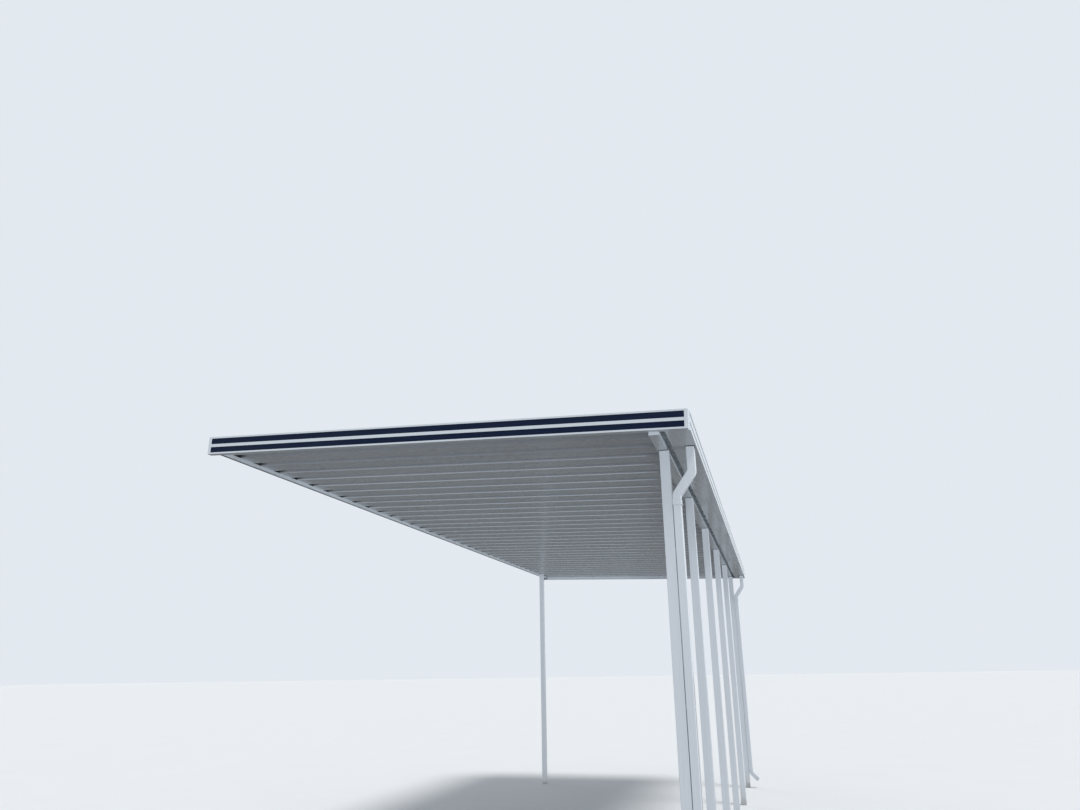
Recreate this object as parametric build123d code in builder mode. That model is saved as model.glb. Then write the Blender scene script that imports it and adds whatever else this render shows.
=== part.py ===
from build123d import *
from math import atan, cos, sin, tan
import os

os.makedirs("parts", exist_ok=True)

# Attached carport of white roll-formed and extruded aluminium, in millimetres.
# X runs out from the house wall, Y from the front to the rear and Z up.
# The origin is on the wall face, halfway along the wall rail, where the underside of the roof meets it.

# Overall sizes
PAN_PITCH = 304.8
PAN_COUNT = 35
END_CLEARANCE = 10.0
ROOF_RUN = 3950.0
ROOF_SLOPE = 0.035
GROUND_DROP = 3760.0

# Roof pans
PAN_GAUGE = 0.8
RIB_FOOT = 110.0
RIB_TOP = 68.0
RIB_HEIGHT = 70.0
SEAM_GAP = 0.3
SEAM_LAP = 16.0
BEAD_WIDTH = 12.0
BEAD_HEIGHT = 6.0
PAN_WALL_GAP = 8.0
PAN_GUTTER_REACH = 32.0
PANS_PER_NODE = 3

# Fascia and gutter face
FASCIA_DROP = 52.0
FASCIA_DEPTH = 50.0
FASCIA_TOP_FLANGE = 30.0
FASCIA_WALL_GAP = 4.0
EXTRUSION_WALL = 2.0
FACE_LIP = 13.5
LOWER_BAND = 46.0
MID_RAIL = 25.0
UPPER_BAND = 48.0
BAND_RECESS = 4.0
BAND_GAUGE = 1.2
BAND_PLAY = 0.3
PAN_LEDGE = 26.0
CAP_WRAP = 25.0
CAP_GAUGE = 1.5
LIP_RETURN = 18.0
LIP_HOOK = 8.0
END_CAP = 2.0

# Gutter
GUTTER_WIDTH = 172.0
GUTTER_LEDGE = 22.0
GUTTER_PROUD = 10.0

# Wall rail
RAIL_DEPTH = 60.0
RAIL_WALL = 3.0
RAIL_LEDGE_GAUGE = 2.5
RAIL_LIP = 30.0
RAIL_BACK_DROP = 20.0
RAIL_LIP_RETURN = 9.0
RAIL_TOP_FLANGE = 46.0
RAIL_TOP_CLEARANCE = 2.0

# Posts and beam
POST_SIZE = 76.2
POST_WALL = 2.5
POST_CORNER = 3.0
POST_COUNT = 6
POST_INSET = 497.0
POST_GUTTER_GAP = 30.0
BEAM_SETBACK = 16.0
BEAM_HEIGHT = 76.2
BEAM_WALL = 2.5

# Post brackets
FOOT_PLATE = 4.0
HEAD_PLATE = 6.0
BRACKET_UPSTAND = 70.0
BRACKET_WIDTH = 56.0
BRACKET_GAUGE = 3.0
BRACKET_PLAY = 0.3
HEAD_PLATE_INSET = 8.0
ANCHOR_HOLE_RADIUS = 5.5
ANCHOR_SPACING = 30.0

# Downspouts
SPOUT_WIDTH = 60.0
SPOUT_DEPTH = 82.0
SPOUT_GAUGE = 1.0
SPOUT_CORNER = 3.0
SPOUT_PLAY = 0.3
SPOUT_STANDOFF = 4.0
SPOUT_FACE_INSET = 13.0
OUTLET_PLAY = 1.2
OUTLET_TUBE = 30.0
OUTLET_FLANGE = 6.0
SPOUT_TOP_GAP = 0.3
UPPER_BEND_DROP = 385.0
LOWER_BEND_DROP = 558.0
COLLAR_DROP = 633.0
BEND_RADIUS = 48.0
SLEEVE = 50.0
COLLAR_BAND = 42.0
COLLAR_PROUD = 2.0
SHOE_HEIGHT = 240.0
SHOE_KICK = 112.0
SHOE_TOP = 320.0
CLIP_HEIGHT = 25.0
CLIP_WIDTH = 50.0
CLIP_HEIGHTS = (520.0, 1700.0, 2800.0)

# Places worked out from the sizes
FALL = atan(ROOF_SLOPE)
ROOF_LENGTH = PAN_COUNT * PAN_PITCH + 2 * END_CLEARANCE
FRONT = -ROOF_LENGTH / 2
REAR = ROOF_LENGTH / 2
GROUND = -GROUND_DROP
SEAM_STEP = PAN_GAUGE + SEAM_GAP
FASCIA_HEIGHT = 2 * FACE_LIP + LOWER_BAND + MID_RAIL + UPPER_BAND
GUTTER_INNER = ROOF_RUN - GUTTER_WIDTH
GUTTER_FACE = ROOF_RUN + GUTTER_PROUD
PAN_END = GUTTER_INNER + PAN_GUTTER_REACH
FRAME_START = FRONT + FASCIA_DEPTH + END_CAP
FRAME_END = REAR - FASCIA_DEPTH - END_CAP
POST_OUTER_FACE = GUTTER_INNER - POST_GUTTER_GAP
POST_CENTRE_X = POST_OUTER_FACE - POST_SIZE / 2
FIRST_POST = FRONT + POST_INSET + POST_SIZE / 2
POST_SPACING = -2 * FIRST_POST / (POST_COUNT - 1)
POST_PLACES = [FIRST_POST + i * POST_SPACING for i in range(POST_COUNT)]
BEAM_OUTER_FACE = POST_OUTER_FACE - BEAM_SETBACK
BEAM_INNER_FACE = BEAM_OUTER_FACE - POST_SIZE
BEAM_BOTTOM = -(POST_CENTRE_X - BEAM_SETBACK) * tan(FALL) - BEAM_HEIGHT
REAR_POST_X = RAIL_DEPTH + POST_SIZE / 2
SPOUT_LOWER_X = POST_OUTER_FACE + SPOUT_STANDOFF + SPOUT_WIDTH / 2
SPOUT_UPPER_X = ROOF_RUN - SPOUT_FACE_INSET - SPOUT_WIDTH / 2
ROOF_OUT = Vector(cos(FALL), 0, -sin(FALL))
ROOF_UP = Vector(sin(FALL), 0, cos(FALL))


def roof_point(run, y, rise=0.0):
    """A point given along the slope, along the house and square to the roof."""
    return ROOF_OUT * run + ROOF_UP * rise + Vector(0, y, 0)


def section_across(run):
    """Plane for a profile that runs down the slope: local x is Y, local y is square to the roof."""
    return Plane(origin=roof_point(run, 0), x_dir=(0, 1, 0), z_dir=ROOF_OUT)


def section_along(y):
    """Plane for a profile that runs along the eave: local x is down the slope, extruded to the front."""
    return Plane(origin=(0, y, 0), x_dir=ROOF_OUT, z_dir=(0, -1, 0))


def section_plumb(y):
    """Plane for an upright profile that runs along the house: local x is X, local y is Z."""
    return Plane(origin=(0, y, 0), x_dir=(1, 0, 0), z_dir=(0, -1, 0))


def underside(x):
    """Height of the roof underside above the origin at a distance from the wall."""
    return -x * tan(FALL)


def save(part, name):
    """Label one sub-part and write its STEP file."""
    part.label = name
    export_step(part, "parts/" + name + ".step")


def left_leg(centre, lapped):
    """Lower points of a pan's front leg, from the seam down to the flat."""
    seam = centre - SEAM_LAP if lapped else centre
    bead = BEAD_WIDTH / 2 - SEAM_STEP
    points = [(seam, RIB_HEIGHT)]
    if lapped:
        points += [
            (centre - bead, RIB_HEIGHT),
            (centre - bead, RIB_HEIGHT + BEAD_HEIGHT),
            (centre + bead, RIB_HEIGHT + BEAD_HEIGHT),
            (centre + bead, RIB_HEIGHT),
        ]
    return points + [(centre + RIB_TOP / 2, RIB_HEIGHT), (centre + RIB_FOOT / 2, 0)]


def right_leg(centre, lapped):
    """Lower points of a pan's rear leg, from the flat up and over the next pan's leg."""
    if not lapped:
        return [(centre - RIB_FOOT / 2, 0), (centre - RIB_TOP / 2, RIB_HEIGHT), (centre, RIB_HEIGHT)]
    bead = BEAD_WIDTH / 2
    top = RIB_HEIGHT + SEAM_STEP
    return [
        (centre - RIB_FOOT / 2, 0),
        (centre - RIB_TOP / 2, top),
        (centre - bead, top),
        (centre - bead, top + BEAD_HEIGHT),
        (centre + bead, top + BEAD_HEIGHT),
        (centre + bead, top),
        (centre + SEAM_LAP, top),
    ]


# Roof pans: each flat pan ends in two raised legs that snap over the next pan's leg
def build_pans(first, count):
    """A run of neighbouring pans, each its own solid."""
    with BuildPart() as pans:
        for i in range(first, first + count):
            front_rib = FRONT + END_CLEARANCE + i * PAN_PITCH
            rear_rib = front_rib + PAN_PITCH
            points = left_leg(front_rib, i > 0) + right_leg(rear_rib, i < PAN_COUNT - 1)
            with BuildSketch(section_across(PAN_WALL_GAP)):
                with BuildLine():
                    Polyline(*points)
                    offset(amount=PAN_GAUGE, side=Side.LEFT, kind=Kind.INTERSECTION)
                make_face()
            extrude(amount=PAN_END - PAN_WALL_GAP)
    return pans.part


for group, first_pan in enumerate(range(0, PAN_COUNT, PANS_PER_NODE)):
    pan_count = min(PANS_PER_NODE, PAN_COUNT - first_pan)
    save(build_pans(first_pan, pan_count), f"roof_pans_{group + 1:02d}")


# Wall rail: a receiver channel with a ledge under the pans and a lip that shows below
with BuildPart() as wall_rail:
    ledge_rise = underside(RAIL_DEPTH)
    rail_top = RIB_HEIGHT + 2 * SEAM_STEP + BEAD_HEIGHT + RAIL_TOP_CLEARANCE
    with BuildSketch(section_plumb(FRAME_END)):
        with BuildLine():
            Polyline(
                (0, -RAIL_BACK_DROP),
                (RAIL_WALL, -RAIL_BACK_DROP),
                (RAIL_WALL, underside(RAIL_WALL) - RAIL_LEDGE_GAUGE),
                (RAIL_DEPTH - RAIL_LEDGE_GAUGE, ledge_rise - RAIL_LEDGE_GAUGE),
                (RAIL_DEPTH - RAIL_LEDGE_GAUGE, ledge_rise - RAIL_LIP + RAIL_LEDGE_GAUGE),
                (RAIL_DEPTH - RAIL_LIP_RETURN, ledge_rise - RAIL_LIP + RAIL_LEDGE_GAUGE),
                (RAIL_DEPTH - RAIL_LIP_RETURN, ledge_rise - RAIL_LIP),
                (RAIL_DEPTH, ledge_rise - RAIL_LIP),
                (RAIL_DEPTH, ledge_rise),
                (RAIL_WALL, underside(RAIL_WALL)),
                (RAIL_WALL, rail_top),
                (RAIL_TOP_FLANGE, rail_top + underside(RAIL_TOP_FLANGE)),
                (RAIL_TOP_FLANGE, rail_top + RAIL_LEDGE_GAUGE + underside(RAIL_TOP_FLANGE)),
                (0, rail_top + RAIL_LEDGE_GAUGE),
                close=True,
            )
        make_face()
    extrude(amount=FRAME_END - FRAME_START)
save(wall_rail.part, "wall_rail")


def face_relief(face, sign):
    """Outer points of the banded face, from its bottom edge to its top edge."""
    back = face + sign * BAND_RECESS
    levels = [
        (0, face),
        (FACE_LIP, face),
        (FACE_LIP, back),
        (FACE_LIP + LOWER_BAND, back),
        (FACE_LIP + LOWER_BAND, face),
        (FACE_LIP + LOWER_BAND + MID_RAIL, face),
        (FACE_LIP + LOWER_BAND + MID_RAIL, back),
        (FASCIA_HEIGHT - FACE_LIP, back),
        (FASCIA_HEIGHT - FACE_LIP, face),
        (FASCIA_HEIGHT, face),
    ]
    return [(place, rise - FASCIA_DROP) for rise, place in levels]


# Fascias: banded channels that close the ends of the roof and carry the end pans on an inner ledge
def build_fascia(face, inward):
    """A fascia whose outer face is at Y face, with inward +1 at the front and -1 at the rear."""
    bottom = -FASCIA_DROP
    top = FASCIA_HEIGHT - FASCIA_DROP
    outline = [(face + inward * FASCIA_DEPTH, bottom)]
    outline += face_relief(face, inward)
    outline += [(face + inward * FASCIA_TOP_FLANGE, top)]
    ledge_root = BAND_RECESS + EXTRUSION_WALL / 2
    with BuildPart() as fascia:
        with BuildSketch(section_across(FASCIA_WALL_GAP)):
            with BuildLine():
                Polyline(*outline)
                thick_side = Side.RIGHT if inward > 0 else Side.LEFT
                offset(amount=EXTRUSION_WALL, side=thick_side, kind=Kind.INTERSECTION)
            make_face()
            with Locations((face + inward * (ledge_root + PAN_LEDGE) / 2, RIB_HEIGHT - EXTRUSION_WALL / 2)):
                Rectangle(PAN_LEDGE - ledge_root, EXTRUSION_WALL)
        extrude(amount=ROOF_RUN - CAP_GAUGE - FASCIA_WALL_GAP - CAP_GAUGE)
    return fascia.part


save(build_fascia(FRONT, 1), "front_fascia")
save(build_fascia(REAR, -1), "rear_fascia")


# Band inserts: dark strips that lie in the two recesses of each fascia
def build_band(face, inward, bottom, height):
    """A strip on the recess floor, from one end cap to the other."""
    floor = face + inward * BAND_RECESS
    with BuildPart() as band:
        with BuildSketch(section_across(FASCIA_WALL_GAP)):
            centre_rise = bottom + height / 2 - FASCIA_DROP
            with Locations((floor - inward * BAND_GAUGE / 2, centre_rise)):
                Rectangle(BAND_GAUGE, height - 2 * BAND_PLAY)
        extrude(amount=ROOF_RUN - FASCIA_WALL_GAP - 2 * CAP_GAUGE)
    return band.part


for end, face, inward in (("front", FRONT, 1), ("rear", REAR, -1)):
    save(build_band(face, inward, FACE_LIP, LOWER_BAND), end + "_lower_band")
    upper_bottom = FACE_LIP + LOWER_BAND + MID_RAIL
    save(build_band(face, inward, upper_bottom, UPPER_BAND), end + "_upper_band")


# Fascia caps: angle plates that close a fascia's open ends and wrap round onto its face
def build_fascia_caps(face, inward):
    """The wall-side and eave-side caps of one fascia."""
    middle = FASCIA_HEIGHT / 2 - FASCIA_DROP
    wall_end = FASCIA_WALL_GAP - CAP_GAUGE
    eave_end = ROOF_RUN - 2 * CAP_GAUGE
    with BuildPart() as caps:
        for plate_start, wrap_start in ((wall_end, wall_end), (eave_end, eave_end + CAP_GAUGE - CAP_WRAP)):
            with BuildSketch(section_across(plate_start)):
                with Locations((face + inward * (FASCIA_DEPTH - CAP_GAUGE) / 2, middle)):
                    Rectangle(FASCIA_DEPTH + CAP_GAUGE, FASCIA_HEIGHT)
            extrude(amount=CAP_GAUGE)
            with BuildSketch(section_across(wrap_start)):
                with Locations((face - inward * CAP_GAUGE / 2, middle)):
                    Rectangle(CAP_GAUGE, FASCIA_HEIGHT)
            extrude(amount=CAP_WRAP)
    return caps.part


save(build_fascia_caps(FRONT, 1), "front_fascia_caps")
save(build_fascia_caps(REAR, -1), "rear_fascia_caps")


# Gutter: a wide trough with a ledge under the pan ends and the banded face outside
GUTTER_BOTTOM = -FASCIA_DROP
GUTTER_TOP = FASCIA_HEIGHT - FASCIA_DROP
OUTLET_RUN = SPOUT_UPPER_X / cos(FALL) - GUTTER_BOTTOM * tan(FALL)
OUTLET_WIDTH = SPOUT_WIDTH - 2 * (SPOUT_GAUGE + OUTLET_PLAY)
OUTLET_DEPTH = SPOUT_DEPTH - 2 * (SPOUT_GAUGE + OUTLET_PLAY)
SPOUT_PLACES = {"front": POST_PLACES[0], "rear": POST_PLACES[-1]}


def gutter_floor(y):
    """Plane on the outside of the gutter's bottom, at a distance along the eave."""
    origin = roof_point(OUTLET_RUN, y, GUTTER_BOTTOM)
    return Plane(origin=origin, x_dir=ROOF_OUT, z_dir=ROOF_UP)


with BuildPart() as gutter:
    with BuildSketch(section_along(FRAME_END)):
        with BuildLine():
            Polyline(
                (GUTTER_INNER + GUTTER_LEDGE, 0),
                (GUTTER_INNER, 0),
                (GUTTER_INNER, GUTTER_BOTTOM),
                *face_relief(GUTTER_FACE, -1),
                (GUTTER_FACE - LIP_RETURN, GUTTER_TOP),
                (GUTTER_FACE - LIP_RETURN, GUTTER_TOP - LIP_HOOK),
            )
            offset(amount=EXTRUSION_WALL, side=Side.LEFT, kind=Kind.INTERSECTION)
        make_face()
    extrude(amount=FRAME_END - FRAME_START)
    for y in SPOUT_PLACES.values():
        with BuildSketch(gutter_floor(y)):
            Rectangle(OUTLET_WIDTH + 2 * SPOUT_PLAY, OUTLET_DEPTH + 2 * SPOUT_PLAY)
        extrude(amount=EXTRUSION_WALL, mode=Mode.SUBTRACT)
save(gutter.part, "gutter")

with BuildPart() as gutter_end_caps:
    for y in (FRAME_START, REAR - FASCIA_DEPTH):
        with BuildSketch(section_along(y)):
            with BuildLine():
                Polyline(
                    (GUTTER_INNER, 0),
                    (GUTTER_INNER, GUTTER_BOTTOM),
                    (GUTTER_FACE - CAP_GAUGE, GUTTER_BOTTOM),
                    (GUTTER_FACE - CAP_GAUGE, GUTTER_TOP),
                    (PAN_END + END_CAP, GUTTER_TOP),
                    (PAN_END + END_CAP, 0),
                    close=True,
                )
            make_face()
        extrude(amount=END_CAP)
save(gutter_end_caps.part, "gutter_end_caps")


# Outer beam: a square tube over the posts, its top face laid to the fall of the roof
BEAM_OUTLINE = [
    (BEAM_INNER_FACE, BEAM_BOTTOM),
    (BEAM_OUTER_FACE, BEAM_BOTTOM),
    (BEAM_OUTER_FACE, underside(BEAM_OUTER_FACE)),
    (BEAM_INNER_FACE, underside(BEAM_INNER_FACE)),
]
with BuildPart() as outer_beam:
    with BuildSketch(section_plumb(FRAME_END)):
        with BuildLine():
            Polyline(*BEAM_OUTLINE, close=True)
        make_face()
        offset(amount=-BEAM_WALL, kind=Kind.INTERSECTION, mode=Mode.SUBTRACT)
    extrude(amount=FRAME_END - FRAME_START)
save(outer_beam.part, "outer_beam")

with BuildPart() as beam_end_caps:
    for y in (FRAME_START, REAR - FASCIA_DEPTH):
        with BuildSketch(section_plumb(y)):
            with BuildLine():
                Polyline(*BEAM_OUTLINE, close=True)
            make_face()
        extrude(amount=END_CAP)
save(beam_end_caps.part, "beam_end_caps")


# Posts: square tubes between a foot plate on the ground and the beam or the roof
def post_section(size, corner):
    """The ring section of a post."""
    RectangleRounded(size, size, corner)
    RectangleRounded(size - 2 * POST_WALL, size - 2 * POST_WALL, corner - POST_WALL / 2, mode=Mode.SUBTRACT)


POST_FOOT = GROUND + FOOT_PLATE
POST_HEAD = BEAM_BOTTOM - HEAD_PLATE
for number, y in enumerate(POST_PLACES):
    with BuildPart() as outer_post:
        with BuildSketch(Plane(origin=(POST_CENTRE_X, y, POST_FOOT))):
            post_section(POST_SIZE, POST_CORNER)
        extrude(amount=POST_HEAD - POST_FOOT)
    save(outer_post.part, f"outer_post_{number + 1}")

REAR_POST_Y = POST_PLACES[-1]
with BuildPart() as rear_wall_post:
    with BuildSketch(Plane(origin=(REAR_POST_X, REAR_POST_Y, POST_FOOT))):
        post_section(POST_SIZE, POST_CORNER)
    extrude(amount=-POST_FOOT)
    split(bisect_by=Plane(origin=(0, 0, 0), x_dir=ROOF_OUT, z_dir=ROOF_UP), keep=Keep.BOTTOM)
save(rear_wall_post.part, "rear_wall_post")


# Post brackets: plates with two upstands that slide inside the tube
def build_brackets(places, z, depth, gauge, upward):
    """Brackets whose outer face is at height z, with upstands pointing upward +1 or down -1."""
    reach = POST_SIZE / 2 - POST_WALL - BRACKET_PLAY - BRACKET_GAUGE / 2
    with BuildPart() as brackets:
        for x, y in places:
            with BuildSketch(Plane(origin=(x, y, z))):
                Rectangle(POST_SIZE, depth)
                if upward > 0:
                    with GridLocations(0, ANCHOR_SPACING, 1, 2):
                        Circle(ANCHOR_HOLE_RADIUS, mode=Mode.SUBTRACT)
            extrude(amount=upward * gauge)
            with BuildSketch(Plane(origin=(x, y, z + upward * gauge))):
                with GridLocations(2 * reach, 0, 2, 1):
                    Rectangle(BRACKET_GAUGE, BRACKET_WIDTH)
            extrude(amount=upward * BRACKET_UPSTAND)
    return brackets.part


OUTER_PLACES = [(POST_CENTRE_X, y) for y in POST_PLACES]
FOOT_PLACES = OUTER_PLACES + [(REAR_POST_X, REAR_POST_Y)]
HEAD_PLATE_DEPTH = POST_SIZE - 2 * HEAD_PLATE_INSET
save(build_brackets(FOOT_PLACES, GROUND, POST_SIZE, FOOT_PLATE, 1), "post_foot_brackets")
save(build_brackets(OUTER_PLACES, BEAM_BOTTOM, HEAD_PLATE_DEPTH, HEAD_PLATE, -1), "post_head_brackets")


# Downspouts: an outlet in the gutter, an offset back to the post, a straight pipe and a shoe
def tube_ring(width, depth, gauge):
    """A thin-walled section with cut corners."""
    Rectangle(width, depth)
    chamfer(vertices(), SPOUT_CORNER)
    offset(amount=-gauge, kind=Kind.INTERSECTION, mode=Mode.SUBTRACT)


def spout_ring(play, proud=0.0):
    """A pipe section, with its inside opened by the play to slip over another pipe."""
    grow = 2 * (play + proud)
    tube_ring(SPOUT_WIDTH + grow, SPOUT_DEPTH + grow, SPOUT_GAUGE + proud)


def build_outlet(y):
    """A flanged drop tube that stands in the hole in the gutter's bottom."""
    floor = gutter_floor(y)
    flange = 2 * OUTLET_FLANGE
    with BuildPart() as outlet:
        with BuildSketch(floor.offset(-OUTLET_TUBE)):
            tube_ring(OUTLET_WIDTH, OUTLET_DEPTH, SPOUT_GAUGE)
        extrude(amount=OUTLET_TUBE + EXTRUSION_WALL)
        with BuildSketch(floor.offset(EXTRUSION_WALL)):
            tube_ring(OUTLET_WIDTH + flange, OUTLET_DEPTH + flange, OUTLET_FLANGE + SPOUT_GAUGE)
        extrude(amount=SPOUT_GAUGE)
    return outlet.part


SLEEVE_PLAY = SPOUT_GAUGE + SPOUT_PLAY
SPOUT_TOP = underside(SPOUT_UPPER_X + SPOUT_WIDTH / 2 + SLEEVE_PLAY) - FASCIA_DROP / cos(FALL) - SPOUT_TOP_GAP
PIPE_TOP = -COLLAR_DROP + SLEEVE
SHOE_START = GROUND + SHOE_TOP
PIPE_BOTTOM = SHOE_START - SLEEVE


def build_bent_pipe(start, corners, collar_bottom):
    """A sleeve swept down through its corners, each bend an arc, with a collar where it laps the pipe."""
    with BuildPart() as pipe:
        with BuildLine():
            FilletPolyline(start, *corners, radius=BEND_RADIUS)
        with BuildSketch(Plane(origin=start, x_dir=(1, 0, 0), z_dir=(0, 0, -1))):
            spout_ring(SLEEVE_PLAY)
        sweep()
        with BuildSketch(Plane(origin=(SPOUT_LOWER_X, start[1], collar_bottom))):
            spout_ring(SLEEVE_PLAY, COLLAR_PROUD)
        extrude(amount=COLLAR_BAND)
    return pipe.part


def build_clips(y):
    """Spacers that hold the pipe off the post's outer face."""
    with BuildPart() as clips:
        for height in CLIP_HEIGHTS:
            with Locations((POST_OUTER_FACE + SPOUT_STANDOFF / 2, y, GROUND + height)):
                Box(SPOUT_STANDOFF, CLIP_WIDTH, CLIP_HEIGHT)
    return clips.part


for end, y in SPOUT_PLACES.items():
    save(build_outlet(y), end + "_outlet")
    offset_start = (SPOUT_UPPER_X, y, SPOUT_TOP)
    offset_corners = [
        (SPOUT_UPPER_X, y, -UPPER_BEND_DROP),
        (SPOUT_LOWER_X, y, -LOWER_BEND_DROP),
        (SPOUT_LOWER_X, y, -COLLAR_DROP),
    ]
    save(build_bent_pipe(offset_start, offset_corners, -COLLAR_DROP), end + "_downspout_offset")
    with BuildPart() as straight_pipe:
        with BuildSketch(Plane(origin=(SPOUT_LOWER_X, y, PIPE_BOTTOM))):
            spout_ring(0)
        extrude(amount=PIPE_TOP - PIPE_BOTTOM)
    save(straight_pipe.part, end + "_downspout_pipe")
    shoe_bend = GROUND + SHOE_HEIGHT
    shoe_corners = [(SPOUT_LOWER_X, y, shoe_bend), (SPOUT_LOWER_X + SHOE_KICK, y, shoe_bend - SHOE_KICK)]
    shoe_start = (SPOUT_LOWER_X, y, SHOE_START)
    save(build_bent_pipe(shoe_start, shoe_corners, SHOE_START - COLLAR_BAND), end + "_downspout_shoe")
    save(build_clips(y), end + "_downspout_clips")
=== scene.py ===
import math

import bmesh
import bpy
from mathutils import Matrix, Vector


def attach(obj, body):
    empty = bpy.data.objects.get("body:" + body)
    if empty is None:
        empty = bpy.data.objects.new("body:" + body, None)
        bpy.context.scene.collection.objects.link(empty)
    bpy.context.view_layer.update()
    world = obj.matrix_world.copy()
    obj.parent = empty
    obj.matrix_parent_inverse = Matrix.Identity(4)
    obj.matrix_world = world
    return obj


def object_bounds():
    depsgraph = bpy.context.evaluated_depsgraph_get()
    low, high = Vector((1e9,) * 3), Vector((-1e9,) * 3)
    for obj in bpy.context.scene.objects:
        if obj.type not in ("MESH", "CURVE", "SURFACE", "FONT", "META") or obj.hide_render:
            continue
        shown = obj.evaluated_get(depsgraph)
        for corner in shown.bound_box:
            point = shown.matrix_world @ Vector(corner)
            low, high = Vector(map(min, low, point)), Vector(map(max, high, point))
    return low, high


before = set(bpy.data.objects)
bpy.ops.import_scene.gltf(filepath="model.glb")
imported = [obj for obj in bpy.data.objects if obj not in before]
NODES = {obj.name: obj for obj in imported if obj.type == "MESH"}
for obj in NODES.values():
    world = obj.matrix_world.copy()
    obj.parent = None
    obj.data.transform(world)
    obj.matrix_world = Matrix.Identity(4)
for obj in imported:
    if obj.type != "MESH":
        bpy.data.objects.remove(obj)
CAD_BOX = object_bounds()

# Roof, in metres: X points out from the wall, Y runs along it and Z points up
PAN_PITCH = 0.3048
PAN_COUNT = 35
PAN_GAUGE = 0.0008
RIB_HEIGHT = 0.070
END_CLEARANCE = 0.010
CAP_GAUGE = 0.0015
ROOF_RUN = 3.950
ROOF_SLOPE = 0.035
FALL = math.atan(ROOF_SLOPE)
FRONT = CAD_BOX[0].y + CAP_GAUGE
REAR = -FRONT
GROUND = CAD_BOX[0].z

# Wall rail, fascias and gutter
RAIL_DEPTH = 0.060
RAIL_WALL = 0.003
RAIL_LIP_GAUGE = 0.0025
RAIL_TOP = 0.08265
FASCIA_DEPTH = 0.050
END_CAP = 0.002
GUTTER_WIDTH = 0.172
GUTTER_LEDGE = 0.022
GUTTER_WALL = 0.002
GUTTER_BOTTOM = -0.052
GUTTER_FLOOR = GUTTER_BOTTOM + GUTTER_WALL
GUTTER_INNER = ROOF_RUN - GUTTER_WIDTH

# Posts and beam
POST_SIZE = 0.0762
POST_COUNT = 6
POST_INSET = 0.497
POST_GUTTER_GAP = 0.030
BEAM_SETBACK = 0.016
POST_OUTER = GUTTER_INNER - POST_GUTTER_GAP
POST_INNER = POST_OUTER - POST_SIZE
BEAM_X = POST_OUTER - BEAM_SETBACK - POST_SIZE / 2
BEAM_BOTTOM = -BEAM_X * math.tan(FALL) - POST_SIZE
FIRST_POST = FRONT + POST_INSET + POST_SIZE / 2
POSTS = [FIRST_POST * (1 - 2 * i / (POST_COUNT - 1)) for i in range(POST_COUNT)]

# Downspouts
SPOUT_WIDTH = 0.060
SPOUT_DEPTH = 0.082
SPOUT_STANDOFF = 0.004
SPOUT_FACE_INSET = 0.013
COLLAR_BAND = 0.042
COLLAR_RISE = 0.0033
UPPER_COLLAR_FOOT = -0.633
LOWER_COLLAR_TOP = GROUND + 0.320
COLLARS = (UPPER_COLLAR_FOOT + COLLAR_BAND / 2, LOWER_COLLAR_TOP - COLLAR_BAND / 2)
CLIP_HEIGHTS = (0.520, 1.700, 2.800)
SPOUT_PLACES = (POSTS[0], POSTS[-1])
SPOUT_X = POST_OUTER + SPOUT_STANDOFF + SPOUT_WIDTH / 2
OUTLET_X = ROOF_RUN - SPOUT_FACE_INSET - SPOUT_WIDTH / 2
OUTLET_RUN = OUTLET_X / math.cos(FALL) - GUTTER_BOTTOM * math.tan(FALL)

# Ways that a fastener can face
OUTWARD, WALLWARD = (1, 0, 0), (-1, 0, 0)
FRONTWARD, REARWARD = (0, -1, 0), (0, 1, 0)
ROOFWARD = (math.sin(FALL), 0, math.cos(FALL))


def roof_point(run, y, rise):
    """A point given along the slope, along the house and square to the roof."""
    x = run * math.cos(FALL) + rise * math.sin(FALL)
    z = -run * math.sin(FALL) + rise * math.cos(FALL)
    return Vector((x, y, z))


def seam(k):
    """Y of the seam between pans k - 1 and k."""
    return FRONT + END_CLEARANCE + k * PAN_PITCH


def rgb(r, g, b):
    return (r, g, b, 1.0)


# Colours shared by several materials
WHITE = rgb(0.66, 0.70, 0.745)
SHADED_WHITE = rgb(0.60, 0.645, 0.695)
DUST = rgb(0.42, 0.40, 0.36)
GRIME = rgb(0.20, 0.19, 0.175)
# Dark grey painted as shade in the rib hollows near the wall
RIB_SHADE_GREY = rgb(0.07, 0.07, 0.07)


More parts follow.
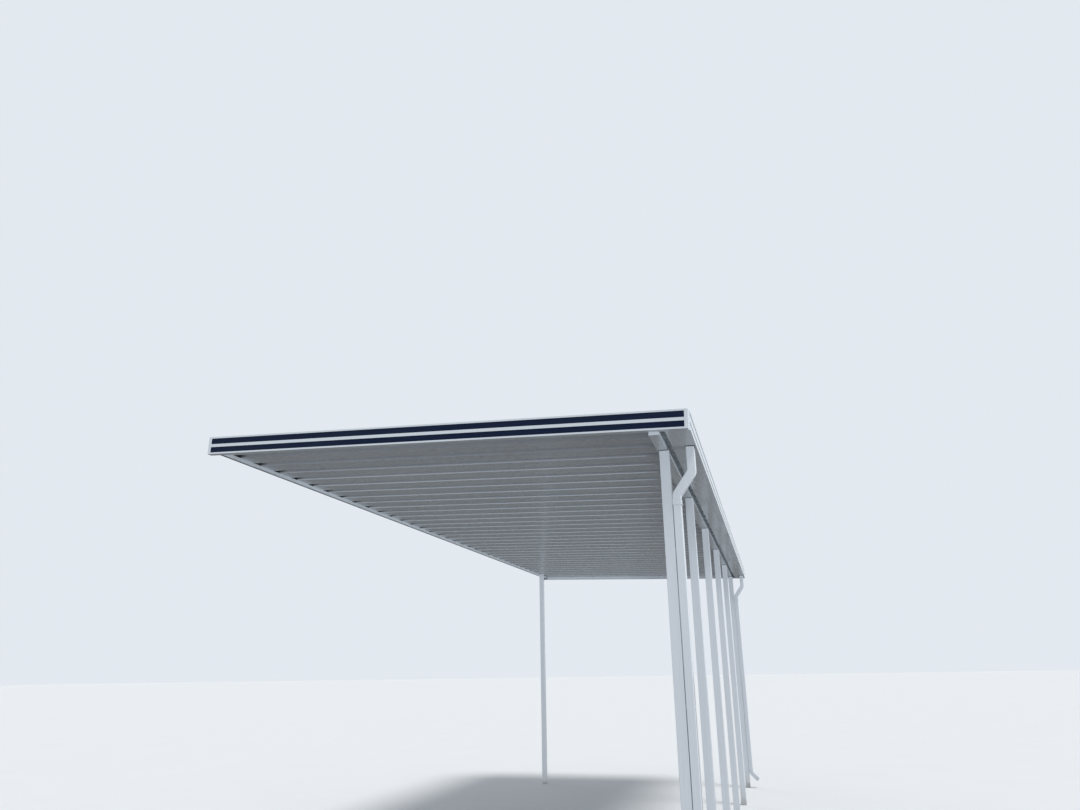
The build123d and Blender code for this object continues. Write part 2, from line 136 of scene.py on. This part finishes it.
# Node helpers
class Tree:
    """A material's node tree with short calls for the nodes that are used here."""

    def __init__(self, name):
        self.material = bpy.data.materials.new(name)
        self.material.use_nodes = True
        self.nodes = self.material.node_tree.nodes
        self.links = self.material.node_tree.links
        self.shader = self.nodes["Principled BSDF"]
        self.place = self.nodes.new("ShaderNodeTexCoord").outputs["Object"]

    def link(self, source, target):
        """Feeds a socket or a plain value to a socket."""
        if isinstance(source, (int, float, tuple)):
            target.default_value = source
        else:
            self.links.new(source, target)

    def noise(self, scale, detail=4.0, rough=0.55, stretch=(1, 1, 1)):
        """Soft noise, drawn out along an axis where its stretch is under 1."""
        mapping = self.nodes.new("ShaderNodeMapping")
        mapping.inputs["Scale"].default_value = stretch
        self.links.new(self.place, mapping.inputs["Vector"])
        node = self.nodes.new("ShaderNodeTexNoise")
        node.inputs["Scale"].default_value = scale
        node.inputs["Detail"].default_value = detail
        node.inputs["Roughness"].default_value = rough
        self.links.new(mapping.outputs["Vector"], node.inputs["Vector"])
        return node.outputs["Fac"]

    def ramp(self, value, start, end, top=1.0, bottom=0.0):
        """Rises from bottom to top while the value goes from start to end, and holds outside."""
        node = self.nodes.new("ShaderNodeMapRange")
        node.interpolation_type = "SMOOTHSTEP"
        self.link(value, node.inputs["Value"])
        node.inputs["From Min"].default_value = start
        node.inputs["From Max"].default_value = end
        node.inputs["To Min"].default_value = bottom
        node.inputs["To Max"].default_value = top
        return node.outputs["Result"]

    def math(self, operation, a, b=0.0):
        node = self.nodes.new("ShaderNodeMath")
        node.operation = operation
        self.link(a, node.inputs[0])
        self.link(b, node.inputs[1])
        return node.outputs["Value"]

    def mix(self, share, a, b):
        """Mixes two colours."""
        node = self.nodes.new("ShaderNodeMix")
        node.data_type = "RGBA"
        self.link(share, node.inputs["Factor"])
        self.link(a, node.inputs["A"])
        self.link(b, node.inputs["B"])
        return node.outputs["Result"]

    def split(self, vector):
        """A vector's X, Y and Z."""
        node = self.nodes.new("ShaderNodeSeparateXYZ")
        self.links.new(vector, node.inputs["Vector"])
        return node.outputs

    def facing(self):
        """How far the surface looks up, from -1 to 1."""
        return self.split(self.nodes.new("ShaderNodeNewGeometry").outputs["Normal"])["Z"]

    def bump(self, height, distance, normal=None):
        node = self.nodes.new("ShaderNodeBump")
        node.inputs["Distance"].default_value = distance
        self.links.new(height, node.inputs["Height"])
        if normal is not None:
            self.links.new(normal, node.inputs["Normal"])
        return node.outputs["Normal"]

    def finish(self, colour, rough, normal=None, coat=0.0, metal=0.0):
        """Feeds the shader and returns the material."""
        self.link(colour, self.shader.inputs["Base Color"])
        self.link(rough, self.shader.inputs["Roughness"])
        if normal is not None:
            self.links.new(normal, self.shader.inputs["Normal"])
        self.shader.inputs["Coat Weight"].default_value = coat
        self.shader.inputs["Coat Roughness"].default_value = 0.12
        self.shader.inputs["Metallic"].default_value = metal
        return self.material


# Materials
def pan_paint():
    """Enamelled roll-formed sheet with a tone of its own on each pan and slight waves.

    Dust lies on top, and below are faint drip marks and painted shade in the rib ends near the
    wall.
    """
    t = Tree("pan_enamel")
    place = t.split(t.place)

    from_first = t.math("SUBTRACT", place["Y"], FRONT + END_CLEARANCE)
    tone = t.nodes.new("ShaderNodeTexWhiteNoise")
    tone.noise_dimensions = "1D"
    t.link(t.math("FLOOR", t.math("DIVIDE", from_first, PAN_PITCH)), tone.inputs["W"])
    colour = t.mix(t.math("MULTIPLY", tone.outputs["Value"], 0.35), WHITE, SHADED_WHITE)
    cloud = t.ramp(t.noise(1.3, 3, 0.5, (0.35, 1, 1)), 0.40, 0.72, top=0.18)
    colour = t.mix(cloud, colour, SHADED_WHITE)

    streak = t.noise(9.0, 6, 0.62, (0.09, 3.0, 1.0))
    up = t.ramp(t.facing(), 0.2, 0.8)
    dust = t.math("MULTIPLY", t.ramp(streak, 0.42, 0.70, top=0.55, bottom=0.10), up)
    colour = t.mix(dust, colour, DUST)
    drip = t.ramp(t.noise(2.4, 3, 0.5, (0.25, 4.0, 1.0)), 0.60, 0.84, top=0.08)
    colour = t.mix(t.math("MULTIPLY", drip, t.math("SUBTRACT", 1.0, up)), colour, DUST)
    near_wall = t.ramp(place["X"], 0.9, 0.0, top=0.16)
    colour = t.mix(t.math("MULTIPLY", near_wall, t.ramp(streak, 0.35, 0.65)), colour, GRIME)

    # Painted shade: darker inside the rib hollows near the wall, on faces that look down
    above_flats = t.math("ADD", place["Z"], t.math("MULTIPLY", place["X"], math.tan(FALL)))
    hollow = t.ramp(above_flats, 0.002, 0.012)
    rib_end = t.ramp(place["X"], 0.15, 0.05, top=0.85)
    rib_shade = t.math("MULTIPLY", rib_end, t.ramp(t.facing(), 0.0, -0.2))
    colour = t.mix(t.math("MULTIPLY", hollow, rib_shade), colour, RIB_SHADE_GREY)

    rough = t.ramp(t.noise(14.0, 4, 0.6, (0.4, 1, 1)), 0.3, 0.75, top=0.36, bottom=0.20)
    rough = t.math("ADD", rough, t.math("MULTIPLY", dust, 0.5))
    waves = t.bump(t.noise(1.7, 1, 0.3, (0.6, 1.9, 1.0)), 0.008)
    return t.finish(colour, rough, waves, coat=0.15)


def extrusion_paint(name, axis, splash=False, gloss=0.27):
    """Enamelled extrusion with faint draw lines along its axis, soft blotches and settled dust.

    A splashed one is soiled near the ground.
    """
    t = Tree(name)
    long = {"X": (0.06, 1, 1), "Y": (1, 0.06, 1), "Z": (1, 1, 0.06)}[axis]
    drawn = tuple(0.004 if share < 1 else 1 for share in long)

    blotch = t.ramp(t.noise(2.4, 5, 0.6, long), 0.38, 0.70, top=0.35)
    colour = t.mix(blotch, WHITE, SHADED_WHITE)
    dust = t.ramp(t.noise(9.0, 6, 0.68), 0.25, 0.78, top=0.48, bottom=0.12)
    colour = t.mix(t.math("MULTIPLY", dust, t.ramp(t.facing(), 0.3, 0.9)), colour, DUST)
    streak = t.ramp(t.noise(16.0, 4, 0.6, (1.6, 1.6, 0.10)), 0.55, 0.82, top=0.13)
    colour = t.mix(streak, colour, DUST)
    wear = t.ramp(t.noise(120.0, 3, 0.5), 0.70, 0.80, top=0.20)
    colour = t.mix(wear, colour, GRIME)

    if splash:
        ragged = t.math("MULTIPLY", t.noise(9.0, 5, 0.65), 0.28)
        height = t.math("ADD", t.split(t.place)["Z"], ragged)
        foot = t.ramp(height, GROUND + 0.48, GROUND + 0.12, top=0.40)
        colour = t.mix(foot, colour, DUST)
        soil = t.ramp(height, GROUND + 0.25, GROUND + 0.13, top=0.50)
        colour = t.mix(soil, colour, GRIME)

    rough = t.ramp(t.noise(18.0, 4, 0.6, long), 0.3, 0.75, top=gloss + 0.12, bottom=gloss - 0.05)
    lines = t.bump(t.noise(260.0, 2, 0.5, drawn), 0.00002)
    swell = t.bump(t.noise(3.0, 2, 0.4, long), 0.0010, lines)
    return t.finish(colour, rough, swell, coat=0.2)


def band_paint():
    """Dark satin strip with a thin film of dust and a few scuffs."""
    t = Tree("dark_satin")
    navy = rgb(0.0010, 0.0072, 0.030)
    filmed, scuffed = rgb(0.018, 0.032, 0.058), rgb(0.08, 0.10, 0.13)
    film = t.ramp(t.noise(7.0, 6, 0.65, (0.3, 1, 2.5)), 0.40, 0.75, top=0.22)
    colour = t.mix(film, navy, filmed)
    scuff = t.ramp(t.noise(60.0, 4, 0.6, (0.15, 1, 1)), 0.70, 0.82, top=0.20)
    colour = t.mix(scuff, colour, scuffed)
    rough = t.ramp(t.noise(20.0, 4, 0.6, (0.3, 1, 1)), 0.3, 0.75, top=0.50, bottom=0.34)
    t.shader.inputs["Specular IOR Level"].default_value = 0.18
    return t.finish(colour, rough, t.bump(t.noise(420.0, 2, 0.5), 0.00004))


def mill_metal():
    """Bare aluminium with fine rolling lines and dull patches."""
    t = Tree("mill_aluminium")
    bright, dull = rgb(0.62, 0.63, 0.645), rgb(0.44, 0.445, 0.45)
    colour = t.mix(t.ramp(t.noise(30.0, 5, 0.6), 0.35, 0.70), bright, dull)
    rough = t.ramp(t.noise(60.0, 4, 0.6, (0.1, 1, 1)), 0.3, 0.7, top=0.50, bottom=0.30)
    lines = t.bump(t.noise(300.0, 2, 0.5, (0.03, 1, 1)), 0.0001)
    return t.finish(colour, rough, lines, metal=1.0)


def sealant():
    """Grey gun-grade sealant with a soft skin."""
    t = Tree("sealant_grey")
    clean, aged = rgb(0.48, 0.49, 0.49), rgb(0.36, 0.36, 0.35)
    colour = t.mix(t.noise(90.0, 4, 0.6), clean, aged)
    return t.finish(colour, 0.5, t.bump(t.noise(160.0, 3, 0.6), 0.0006))


def foam():
    """Black closed-cell foam with a fine grain."""
    t = Tree("closure_foam")
    black, worn = rgb(0.010, 0.010, 0.011), rgb(0.030, 0.030, 0.032)
    pores = t.noise(900.0, 4, 0.7)
    return t.finish(t.mix(pores, black, worn), 0.92, t.bump(pores, 0.0008))


def zinc():
    """Zinc-plated steel, dulled and slightly yellowed."""
    t = Tree("zinc_plate")
    bright, yellowed = rgb(0.60, 0.60, 0.58), rgb(0.42, 0.40, 0.34)
    colour = t.mix(t.ramp(t.noise(140.0, 5, 0.6), 0.35, 0.7), bright, yellowed)
    rough = t.ramp(t.noise(220.0, 4, 0.6), 0.3, 0.7, top=0.55, bottom=0.28)
    return t.finish(colour, rough, t.bump(t.noise(500.0, 3, 0.6), 0.0001), metal=1.0)


MATERIALS = {
    "pan_white": pan_paint(),
    "rail_white": extrusion_paint("rail_enamel", "Y"),
    "post_white": extrusion_paint("post_enamel", "Z", splash=True),
    "trim_y": extrusion_paint("gutter_enamel", "Y", gloss=0.24),
    "trim_x": extrusion_paint("fascia_enamel", "X", gloss=0.24),
    "spout_white": extrusion_paint("spout_enamel", "Z", splash=True, gloss=0.22),
    "band_dark": band_paint(),
    "metal": mill_metal(),
    "sealant": sealant(),
    "foam": foam(),
    "screw_white": extrusion_paint("screw_enamel", "Z", splash=True),
    "zinc": zinc(),
}


def paint_for(node):
    """The material that a node's name calls for."""
    if node.startswith("roof_pans"):
        return "pan_white"
    if node.endswith("_band"):
        return "band_dark"
    if node.endswith("brackets"):
        return "metal"
    if "downspout" in node or node.endswith("outlet"):
        return "spout_white"
    if "post" in node:
        return "post_white"
    if node in ("wall_rail", "outer_beam", "beam_end_caps"):
        return "rail_white"
    if "fascia" in node:
        return "trim_x"
    return "trim_y"


def paint_nodes():
    for name, node in NODES.items():
        node.data.materials.clear()
        node.data.materials.append(MATERIALS[paint_for(name)])


# Mesh helpers
def turns(count):
    """Angles that are evenly spread over a full turn."""
    return [2 * math.pi * i / count for i in range(count)]


def skin(bm, rings):
    """Joins each ring of vertices to the next."""
    for lower, upper in zip(rings, rings[1:]):
        for i in range(len(lower)):
            j = (i + 1) % len(lower)
            bm.faces.new((lower[i], lower[j], upper[j], upper[i]))


def close_ends(bm, rings):
    """Fills the first ring and the last."""
    bm.faces.new(rings[0][::-1])
    bm.faces.new(rings[-1])


def finish_mesh(name, bm, material):
    """Turns the mesh into a piece of its own with its material and slot."""
    mesh = bpy.data.meshes.new(name)
    bm.normal_update()
    bm.to_mesh(mesh)
    bm.free()
    mesh.materials.append(MATERIALS[material])
    piece = bpy.data.objects.new(name, mesh)
    bpy.context.scene.collection.objects.link(piece)
    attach(piece, "root")
    return piece


# Rib closures
def add_rib_closures():
    """A black foam plug in each rib over the wall rail, bevelled at its far end; its reach out past
    the rail also stands in for the shade deep in the rib ends.
    """
    # far reaches past the rail's lip, so the black plug also serves as painted shade in the rib
    # ends
    near, far, bevel, clear = 0.014, 0.056, 0.0025, 0.0006
    half_foot, half_top, top = 0.0545, 0.0338, RIB_HEIGHT - clear
    outline = [(-half_foot, clear), (half_foot, clear), (half_top, top), (-half_top, top)]
    bm = bmesh.new()
    for k in range(1, PAN_COUNT):
        rings = []
        for run, shrink in ((near, 0.0), (far - bevel, 0.0), (far, bevel)):
            ring = []
            for across, rise in outline:
                side = math.copysign(abs(across) - shrink, across)
                lift = min(max(rise, clear + shrink), top - shrink)
                ring.append(bm.verts.new(roof_point(run, seam(k) + side, lift)))
            rings.append(ring)
        skin(bm, rings)
        close_ends(bm, rings)
    bmesh.ops.recalc_face_normals(bm, faces=bm.faces)
    finish_mesh("rib_closures", bm, "foam")


# Sealant beads, gaskets and hems
BEAD_SIDES = 8
BEAD_UNEVEN = 0.18
BEAD_WAVES = (1.7, 0.61)
CORNER_STEPS = 4


def bead_ring(bm, before, centre, after, radius):
    """A ring of vertices round a bead's centre, square to its run."""
    forward = (after - before).normalized()
    side = forward.cross(Vector((0, 0, 1))).normalized()
    lift = side.cross(forward)
    return [bm.verts.new(centre + side * math.cos(a) * radius + lift * math.sin(a) * radius)
            for a in turns(BEAD_SIDES)]


def bead(name, runs, radius, material):
    """Round beads along level or sloping runs of points, with a slightly uneven width."""
    bm = bmesh.new()
    for points, closed in runs:
        last = len(points) - 1
        rings = []
        for i, point in enumerate(points):
            before = points[i - 1] if closed or i > 0 else point
            after = points[(i + 1) % len(points)] if closed or i < last else point
            wave = math.sin(i * BEAD_WAVES[0]) * math.sin(i * BEAD_WAVES[1])
            rings.append(bead_ring(bm, before, point, after, radius * (1 + BEAD_UNEVEN * wave)))
        if closed:
            skin(bm, rings + rings[:1])
        else:
            skin(bm, rings)
            close_ends(bm, rings)
    bmesh.ops.recalc_face_normals(bm, faces=bm.faces)
    piece = finish_mesh(name, bm, material)
    for face in piece.data.polygons:
        face.use_smooth = True


def spaced(start, end, step):
    """Points from start to end, about a step apart."""
    start, end = Vector(start), Vector(end)
    count = int((end - start).length / step) + 1
    return [start.lerp(end, i / (count - 1)) for i in range(count)]


def spout_ring(centre, margin, corner, slope=0.0):
    """A ring with round corners, a margin outside the downspout's tube, that drops by its slope."""
    reach_x = SPOUT_WIDTH / 2 + margin - corner
    reach_y = SPOUT_DEPTH / 2 + margin - corner
    ring = []
    for quarter, (way_x, way_y) in enumerate(((1, 1), (-1, 1), (-1, -1), (1, -1))):
        for i in range(CORNER_STEPS + 1):
            a = math.pi / 2 * (quarter + i / CORNER_STEPS)
            x = way_x * reach_x + corner * math.cos(a)
            y = way_y * reach_y + corner * math.sin(a)
            ring.append(centre + Vector((x, y, -x * slope)))
    return ring


def add_rail_sealant():
    """A bead in the corner between the rail's back and its top flange."""
    x, z = RAIL_WALL + 0.0016, RAIL_TOP + 0.00095
    inset, step = 0.06, 0.06
    run = spaced((x, FRONT + inset, z), (x, REAR - inset, z), step)
    bead("rail_sealant", [(run, False)], 0.0036, "sealant")


def add_gutter_sealant():
    """Beads inside the gutter, along its end caps and round its outlets."""
    end_gap, wall_gap, step = 0.001, 0.008, 0.012
    end_lift, ring_lift = 0.0008, 0.0010
    inset = FASCIA_DEPTH + END_CAP + end_gap
    runs = []
    for y in (FRONT + inset, REAR - inset):
        start = roof_point(GUTTER_INNER + wall_gap, y, GUTTER_FLOOR + end_lift)
        end = roof_point(ROOF_RUN, y, GUTTER_FLOOR + end_lift)
        runs.append((spaced(start, end, step), False))
    for y in SPOUT_PLACES:
        centre = roof_point(OUTLET_RUN, y, GUTTER_FLOOR + ring_lift)
        runs.append((spout_ring(centre, margin=0.0052, corner=0.006, slope=ROOF_SLOPE), True))
    bead("gutter_sealant", runs, 0.0026, "sealant")


def add_outlet_gaskets():
    """A dark gasket round each downspout's top, under the gutter."""
    margin = 0.0023
    runs = []
    for y in SPOUT_PLACES:
        centre = roof_point(OUTLET_RUN, y, GUTTER_BOTTOM - margin)
        runs.append((spout_ring(centre, margin, corner=0.005, slope=ROOF_SLOPE), True))
    bead("outlet_gaskets", runs, 0.0028, "foam")


def add_collar_hems():
    """Rolled hems just inside the two edges of each collar."""
    from_edge = 0.0015
    reach = COLLAR_BAND / 2 - from_edge
    runs = []
    for y in SPOUT_PLACES:
        for collar in COLLARS:
            for z in (collar - reach, collar + reach):
                centre = Vector((SPOUT_X, y, z))
                runs.append((spout_ring(centre, margin=0.0031, corner=0.0045), True))
    bead("collar_hems", runs, 0.0018, "spout_white")


# Screws, lags and rivets, many heads in one mesh
WASHER_SIDES = 20
RIVET_SIDES = 16


def hex_head(head, washer, rise):
    """A dished washer and a hex head with a chamfered top, as rings.

    Each ring is a radius, a height and a count of corners.
    """
    dish = [(washer, 0.0, WASHER_SIDES), (washer, rise * 0.14, WASHER_SIDES),
            (washer * 0.86, rise * 0.28, WASHER_SIDES), (head * 1.04, rise * 0.30, WASHER_SIDES)]
    hexagon = [(head, rise * 0.30, 6), (head, rise * 0.88, 6), (head * 0.80, rise, 6)]
    return dish, hexagon


def rivet_head(radius, rise):
    """A dome with a small centre dimple, as rings like those of a hex head."""
    profile = [(1.0, 0.0), (0.98, 0.35), (0.80, 0.80), (0.50, 1.0), (0.30, 1.0), (0.22, 0.75)]
    return ([(radius * share, rise * height, RIVET_SIDES) for share, height in profile],)


def fasteners(name, places, shapes, material):
    """The same head at many places, each given as a point and the way that it faces."""
    bm = bmesh.new()
    for at, way in places:
        turn = Vector((0, 0, 1)).rotation_difference(Vector(way).normalized())
        place = Matrix.Translation(Vector(at)) @ turn.to_matrix().to_4x4()
        for shape in shapes:
            rings = []
            for radius, height, count in shape:
                ring = [Vector((radius * math.cos(a), radius * math.sin(a), height))
                        for a in turns(count)]
                rings.append([bm.verts.new(place @ point) for point in ring])
            skin(bm, rings)
            bm.faces.new(rings[-1])
    finish_mesh(name, bm, material)


def roof_screw_places():
    """Screws down into the beam, the gutter's ledge, the rail's flange and the fascias' ledges."""
    beam_run, beam_spread = BEAM_X / math.cos(FALL), 0.062
    ledge_run, ledge_spread = GUTTER_INNER + GUTTER_LEDGE / 2, 0.088
    rail_run, beside_seam = RAIL_DEPTH / 2, 0.020
    fascia_start, fascia_end, fascia_count, fascia_inset = 0.12, 3.70, 13, 0.019
    places = []
    for k in range(PAN_COUNT):
        middle = seam(k) + PAN_PITCH / 2
        for run, spread in ((beam_run, beam_spread), (ledge_run, ledge_spread)):
            for y in (middle - spread, middle + spread):
                places.append((roof_point(run, y, PAN_GAUGE), ROOFWARD))
    for k in range(1, PAN_COUNT):
        places.append((roof_point(rail_run, seam(k) + beside_seam, RAIL_TOP), ROOFWARD))
    for i in range(fascia_count):
        run = fascia_start + i * (fascia_end - fascia_start) / (fascia_count - 1)
        for y in (FRONT + fascia_inset, REAR - fascia_inset):
            places.append((roof_point(run, y, RIB_HEIGHT + PAN_GAUGE), ROOFWARD))
    return places


def rail_lag_places():
    """Lags through the lower part of the rail's back."""
    x, z = RAIL_WALL + 0.0001, -0.0112
    inset, count = 0.20, 18
    step = (REAR - FRONT - 2 * inset) / (count - 1)
    return [((x, FRONT + inset + i * step, z), OUTWARD) for i in range(count)]


def post_screw_places():
    """Screws into the brackets at the posts' ends and through the rail's lip into the rear post."""
    sides = (-0.015, 0.015)
    lip_sides, lip_z = (-0.018, 0.018), -0.017
    head_rows = (BEAM_BOTTOM - 0.030, BEAM_BOTTOM - 0.056)
    foot_rows = (GROUND + 0.027, GROUND + 0.053)
    places = []
    for y in POSTS:
        for face, way in ((POST_INNER, WALLWARD), (POST_OUTER, OUTWARD)):
            for rows in (head_rows, foot_rows):
                for side, z in zip(sides, rows):
                    places.append(((face, y + side, z), way))
    for face, way in ((RAIL_DEPTH, WALLWARD), (RAIL_DEPTH + POST_SIZE, OUTWARD)):
        for side, z in zip(sides, foot_rows):
            places.append(((face, POSTS[-1] + side, z), way))
    for side in lip_sides:
        places.append(((RAIL_DEPTH - RAIL_LIP_GAUGE, POSTS[-1] + side, lip_z), WALLWARD))
    return places


def spout_screw_places():
    """Screws on three sides of each collar and on the face of each pipe at its clips."""
    face_x = SPOUT_X + SPOUT_WIDTH / 2
    collar_y = SPOUT_DEPTH / 2 + COLLAR_RISE
    places = []
    for y in SPOUT_PLACES:
        for z in COLLARS:
            places.append(((SPOUT_X, y - collar_y, z), FRONTWARD))
            places.append(((SPOUT_X, y + collar_y, z), REARWARD))
            places.append(((face_x + COLLAR_RISE, y, z), OUTWARD))
        for height in CLIP_HEIGHTS:
            places.append(((face_x, y, GROUND + height), OUTWARD))
    return places


def cap_rivet_places():
    """Three rivets in the face of each fascia cap."""
    runs, rises = (0.0150, ROOF_RUN - 0.0140), (-0.0455, 0.0200, 0.0870)
    places = []
    for y, way in ((FRONT - CAP_GAUGE, FRONTWARD), (REAR + CAP_GAUGE, REARWARD)):
        for run in runs:
            for rise in rises:
                places.append((roof_point(run, y, rise), way))
    return places


def add_fasteners():
    roof_head = hex_head(head=0.0040, washer=0.0072, rise=0.0048)
    lag_head = hex_head(head=0.0052, washer=0.0080, rise=0.0062)
    post_head = hex_head(head=0.0040, washer=0.0066, rise=0.0044)
    spout_head = hex_head(head=0.0034, washer=0.0056, rise=0.0036)
    cap_head = rivet_head(radius=0.0034, rise=0.0014)
    fasteners("roof_screws", roof_screw_places(), roof_head, "screw_white")
    fasteners("rail_lags", rail_lag_places(), lag_head, "zinc")
    fasteners("post_screws", post_screw_places(), post_head, "screw_white")
    fasteners("spout_screws", spout_screw_places(), spout_head, "screw_white")
    fasteners("cap_rivets", cap_rivet_places(), cap_head, "screw_white")


# Camera fitted to the photo, in photo pixels, radians and metres, with its sensor in millimetres
PHOTO_WIDTH = 1080
FOCAL_LENGTH = 820.388
YAW, TILT, ROLL = 0.264264, 0.313211, -0.015824
EYE = (4.390606, -10.980968, -1.802019)
SENSOR_WIDTH = 36.0


def add_camera():
    level_ahead = Vector((-math.sin(YAW), math.cos(YAW), 0))
    level_right = Vector((math.cos(YAW), math.sin(YAW), 0))
    ahead = level_ahead * math.cos(TILT) + Vector((0, 0, math.sin(TILT)))
    up = level_right.cross(ahead)
    right = level_right * math.cos(ROLL) + up * math.sin(ROLL)
    above = -level_right * math.sin(ROLL) + up * math.cos(ROLL)
    data = bpy.data.cameras.new("photo_camera")
    data.sensor_width = SENSOR_WIDTH
    data.lens = SENSOR_WIDTH * FOCAL_LENGTH / PHOTO_WIDTH
    data.clip_end = 600.0
    camera = bpy.data.objects.new("photo_camera", data)
    turn = Matrix((right, above, -ahead)).transposed()
    camera.matrix_world = Matrix.Translation(EYE) @ turn.to_4x4()
    bpy.context.scene.collection.objects.link(camera)
    bpy.context.scene.camera = camera


# Floor and light
SKY_GLOW, SKY_STRENGTH = rgb(0.92, 0.96, 1.0), 0.34
SKY_SEEN = rgb(0.77, 0.815, 0.87)
FLOOR_SEEN = (rgb(0.87, 0.895, 0.925), rgb(0.90, 0.925, 0.955))
FLOOR_BOUNCE = rgb(0.17, 0.175, 0.18)
WARM, COOL = (1.0, 0.99, 0.97), (0.90, 0.95, 1.0)


def add_floor():
    """A pale floor that bounces less light than it shows and lets the low fills through."""
    size, middle, drop = 500, 1.9, 0.0005
    bpy.ops.mesh.primitive_plane_add(size=size, location=(middle, 0, GROUND - drop))
    floor = bpy.context.object
    floor.name = "studio_floor"
    t = Tree("floor_pale")
    path = t.nodes.new("ShaderNodeLightPath").outputs
    pale = t.mix(t.noise(0.8, 3), *FLOOR_SEEN)
    colour = t.mix(path["Is Camera Ray"], FLOOR_BOUNCE, pale)
    floor.data.materials.append(t.finish(colour, 0.9))
    floor.visible_shadow = False


def add_world():
    """An even sky that camera, glossy and transmission rays see as a brighter backdrop."""
    world = bpy.data.worlds.new("studio")
    bpy.context.scene.world = world
    world.use_nodes = True
    nodes, links = world.node_tree.nodes, world.node_tree.links
    glow = nodes["Background"]
    glow.inputs["Color"].default_value = SKY_GLOW
    glow.inputs["Strength"].default_value = SKY_STRENGTH
    seen = nodes.new("ShaderNodeBackground")
    seen.inputs["Color"].default_value = SKY_SEEN
    seen.inputs["Strength"].default_value = 1.0
    path = nodes.new("ShaderNodeLightPath").outputs
    shown = path["Is Camera Ray"]
    for ray in ("Is Glossy Ray", "Is Transmission Ray"):
        either = nodes.new("ShaderNodeMath")
        either.operation = "MAXIMUM"
        links.new(shown, either.inputs[0])
        links.new(path[ray], either.inputs[1])
        shown = either.outputs["Value"]
    mix = nodes.new("ShaderNodeMixShader")
    links.new(shown, mix.inputs["Fac"])
    links.new(glow.outputs["Background"], mix.inputs[1])
    links.new(seen.outputs["Background"], mix.inputs[2])
    links.new(mix.outputs["Shader"], nodes["World Output"].inputs["Surface"])


def add_sun(name, place, strength, colour, spread, shine=False):
    """A soft sun that shines from a place towards the origin, with or without highlights."""
    data = bpy.data.lights.new(name, "SUN")
    data.energy = strength
    data.color = colour
    data.angle = math.radians(spread)
    lamp = bpy.data.objects.new(name, data)
    lamp.location = place
    lamp.rotation_euler = (-Vector(place)).to_track_quat("-Z", "Y").to_euler()
    lamp.visible_glossy = shine
    bpy.context.scene.collection.objects.link(lamp)


def add_lamps():
    """A soft key from above, low fills for the underside and one from behind."""
    add_sun("key", (4.2, -1.6, 9.2), strength=1.9, colour=WARM, spread=20, shine=True)
    add_sun("front_fill", (1.5, -10.0, -0.6), strength=1.2, colour=COOL, spread=6)
    add_sun("under_fill", (1.5, -10.0, -3.0), strength=0.3, colour=COOL, spread=30)
    add_sun("side_fill", (10.0, -0.6, -1.2), strength=1.6, colour=COOL, spread=15)
    add_sun("back_fill", (-7.0, 6.0, 3.0), strength=0.6, colour=COOL, spread=40)


paint_nodes()
add_rib_closures()
add_rail_sealant()
add_gutter_sealant()
add_outlet_gaskets()
add_collar_hems()
add_fasteners()
add_camera()
add_floor()
add_world()
add_lamps()
bpy.context.scene.view_settings.view_transform = "Standard"
